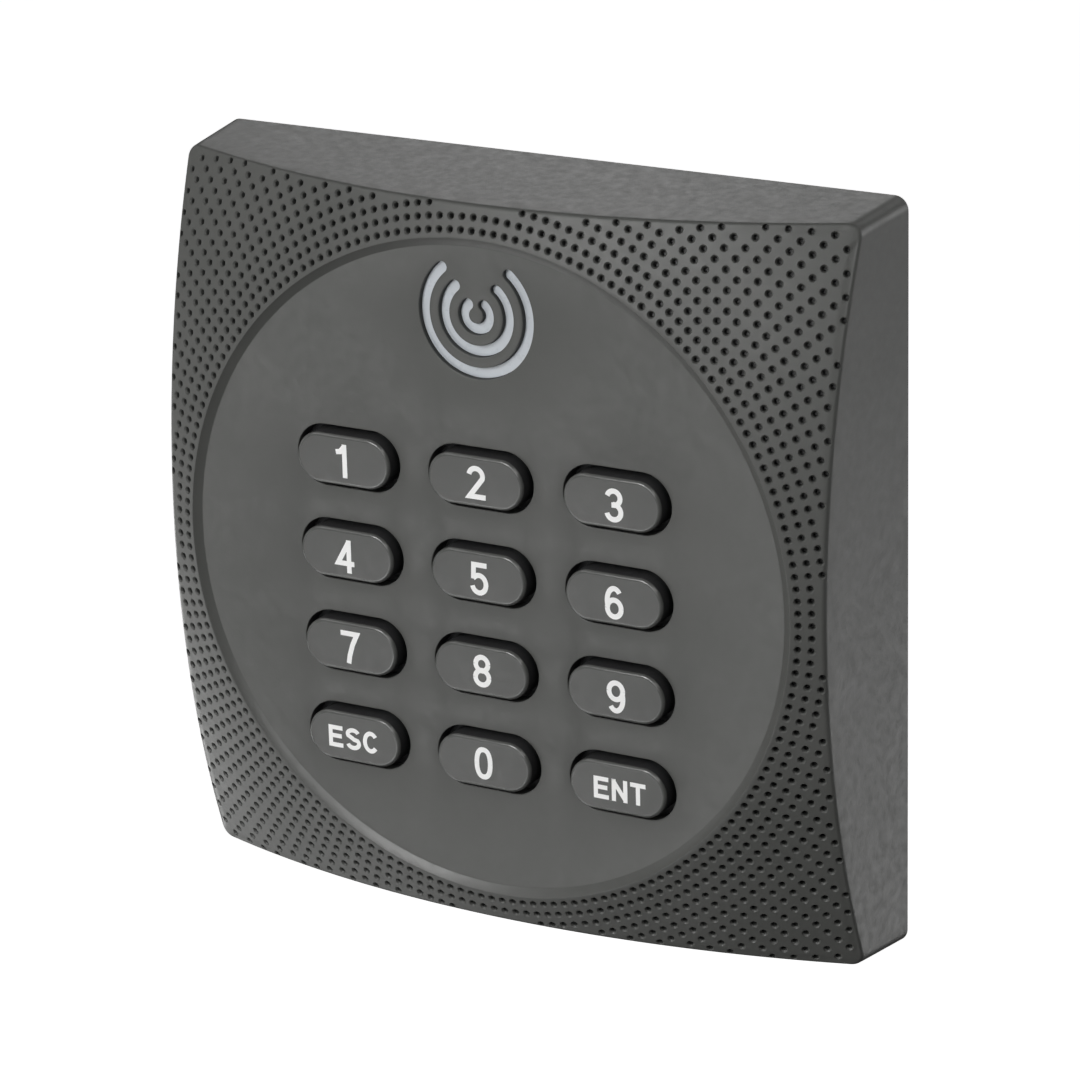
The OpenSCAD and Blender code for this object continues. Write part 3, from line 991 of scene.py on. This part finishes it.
def plastics():
    """Materials of the moulded parts inside and behind the housing, by slot."""
    rear = moulded("rear_grey", ((0.07, 0.07, 0.068), (0.09, 0.09, 0.087)))
    rubber_tones = (0.012, 0.012, 0.013), (0.022, 0.022, 0.023)
    rubber = moulded("rubber_black", rubber_tones, rough=(0.7, 0.85), grain=1800)
    epoxy_tones = (0.010, 0.010, 0.011), (0.020, 0.020, 0.021)
    epoxy = moulded("epoxy_black", epoxy_tones, rough=(0.45, 0.6), grain=3500)
    mask_tones = (0.008, 0.085, 0.030), (0.016, 0.13, 0.05)
    mask = moulded("solder_mask", mask_tones, rough=(0.25, 0.35), grain=1200)
    nylon_tones = (0.62, 0.61, 0.56), (0.74, 0.73, 0.68)
    nylon = moulded("nylon_white", nylon_tones, rough=(0.4, 0.5), grain=2000)
    film_tones = (0.70, 0.70, 0.68), (0.80, 0.80, 0.78)
    film = moulded("label_film", film_tones, rough=(0.45, 0.55), grain=1500, depth=0.000008)
    tan_tones = (0.36, 0.25, 0.15), (0.50, 0.36, 0.22)
    tan = moulded("ceramic_tan", tan_tones, rough=(0.35, 0.45), grain=2500)
    return {"cover_plastic": rear, "mat_rubber": rubber, "seal_rubber": rubber,
            "carbon_rubber": rubber, "chip_black": epoxy, "buzzer_black": epoxy,
            "board_green": mask, "socket_white": nylon, "led_lens": nylon,
            "label_film": film, "ceramic_tan": tan}


def metals():
    """Materials of the metal parts, by slot."""
    steel = metal("zinc_steel", ((0.50, 0.51, 0.52), (0.66, 0.67, 0.68)))
    gold = metal("gold_plate", ((0.70, 0.50, 0.18), (0.86, 0.66, 0.28)), rough=(0.2, 0.3))
    copper_tones = (0.45, 0.16, 0.06), (0.66, 0.28, 0.12)
    copper = metal("copper_wire", copper_tones, rough=(0.25, 0.4), scale=2400)
    return {"screw_steel": steel, "bright_can": steel, "bracket_steel": galvanised(),
            "gold_plate": gold, "copper_wire": copper}


def dress():
    """Gives every shown piece its material. The housing and the keys have several each, in
    the order of the finishes that mark_finishes and build_key give their faces."""
    grey = (0.080, 0.082, 0.077), (0.096, 0.097, 0.092)
    # Painted shade: a darker grey for the walls of the disc's holes and the deep part of the
    # dimples
    painted_shade_grey = (0.030, 0.031, 0.029), (0.040, 0.041, 0.039)
    key_grey = (0.086, 0.088, 0.084), (0.100, 0.101, 0.097)
    housing = [moulded("housing_grey", grey), moulded("disc_grey", grey),
               moulded("step_grey", grey, rough=(0.3, 0.38)), moulded("dimple_painted_shade", painted_shade_grey)]
    key_crown = moulded("key_grey", key_grey, grain=3200)
    key_edge = moulded("key_edge", key_grey, rough=(0.2, 0.26), grain=3200, depth=0.000006,
                       specular=0.8)
    by_slot = {**plastics(), **metals(), "light_window": window(), "legend_ink": ink()}
    slots = {s["node"]: s["material_slot"] for s in frame["record"]["subparts"]}
    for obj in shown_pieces():
        name = obj.get("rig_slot") or slots[obj["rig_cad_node"]]
        if obj.name.startswith("keycap"):
            # The key's sides take the black rubber as painted shade in the gap round the key
            paint(obj, key_crown, by_slot["mat_rubber"], key_edge)
        elif obj.name == "housing":
            paint(obj, *housing)
        else:
            paint(obj, by_slot["legend_ink" if obj.name.startswith("legend") else name])


# ---------- stage, light and camera ----------

def direction(azimuth, elevation):
    """Unit vector in degrees, where azimuth 0 is the front and 90 the reader's right side."""
    a, e = math.radians(azimuth), math.radians(elevation)
    return Vector((math.sin(a) * math.cos(e), -math.cos(a) * math.cos(e), math.sin(e)))


def build_light(name, azimuth, elevation, watts):
    """A round softbox aimed at the reader."""
    away = direction(azimuth, elevation)
    light = bpy.data.lights.new(name, "AREA")
    light.shape = "DISK"
    light.size = SOFTBOX
    light.energy = watts
    obj = bpy.data.objects.new(name, light)
    obj.location = AIM + away * SOFTBOX_AWAY
    obj.rotation_euler = (-away).to_track_quat("-Z", "Y").to_euler()
    obj.visible_camera = False
    bpy.context.scene.collection.objects.link(obj)


def build_lights():
    """Softboxes: the key light above in front, fills below it, and rims from behind."""
    build_light("key", -15, 30, 2.5)
    build_light("front", 5, 15, 1.0)
    build_light("front_low", -30, -25, 1.1)
    build_light("left_high", -60, 42, 0.5)
    build_light("left", -60, 0, 0.25)
    build_light("left_low", -75, -50, 0.45)
    build_light("left_rim", -100, -25, 1.8)
    build_light("right_high", 62, 45, 0.8)
    build_light("right_rim", 130, 10, 1.5)
    build_light("right_rim_low", 140, -25, 0.7)
    build_light("corner_rim", 168, 32, 0.4)
    build_light("top_rim", -150, 30, 0.56)


def build_world():
    """A nearly dark room, shown without a film look."""
    bpy.context.scene.view_settings.view_transform = "Standard"
    world = bpy.data.worlds.new("studio")
    world.use_nodes = True
    background = world.node_tree.nodes["Background"]
    background.inputs["Color"].default_value = (1, 1, 1, 1)
    background.inputs["Strength"].default_value = 0.01
    bpy.context.scene.world = world


def build_stage():
    """A pale floor that sweeps up all round the reader, far enough not to show an edge."""
    verts, faces = [], []
    steps, segments = 12, 72
    profile = [(FLOOR_R, 0.0)]
    for k in range(1, steps + 1):
        a = math.pi / 2 * k / steps
        profile.append((FLOOR_R + SWEEP_R * math.sin(a), SWEEP_R * (1 - math.cos(a))))
    profile.append((FLOOR_R + SWEEP_R, BACKDROP_TOP))
    for radius, height in profile:
        for a in turns(segments):
            verts.append((radius * math.cos(a), radius * math.sin(a), height - FLOOR_DROP))
    stitch(faces, 0, len(profile), segments, False)
    faces.append(list(range(segments)))
    floor = make_object("floor", verts, faces, sharp_deg=60)
    paint(floor, floor_paint())
    floor.visible_diffuse = False
    floor.visible_glossy = False


def floor_paint():
    """Bright white paper, lit evenly."""
    mat = bpy.data.materials.new("floor_pale")
    shader = nodes_of(mat)[2]
    shader.inputs["Base Color"].default_value = (0.9, 0.9, 0.9, 1)
    shader.inputs["Roughness"].default_value = 0.9
    shader.inputs["Emission Color"].default_value = (1, 1, 1, 1)
    shader.inputs["Emission Strength"].default_value = 1.0
    return mat


def build_camera():
    """The viewpoint, from the right and above, with a long lens."""
    data = bpy.data.cameras.new("camera")
    data.sensor_width = 36.0
    data.lens = CAMERA_LENS
    data.clip_start, data.clip_end = 0.01, 20
    camera = bpy.data.objects.new("camera", data)
    back = direction(CAMERA_AZIMUTH, CAMERA_ELEVATION)
    turn = (-back).to_track_quat("-Z", "Y").to_matrix().to_4x4()
    camera.matrix_world = (Matrix.Translation(Vector(CAMERA_AT)) @ turn
                           @ Matrix.Rotation(math.radians(CAMERA_ROLL), 4, "Z"))
    bpy.context.scene.collection.objects.link(camera)
    bpy.context.scene.camera = camera


build_housing()
for key_name in KEY_NAMES:
    build_key(key_name)
    build_legend(key_name)
build_mat()
dress()
build_stage()
build_lights()
build_world()
build_camera()
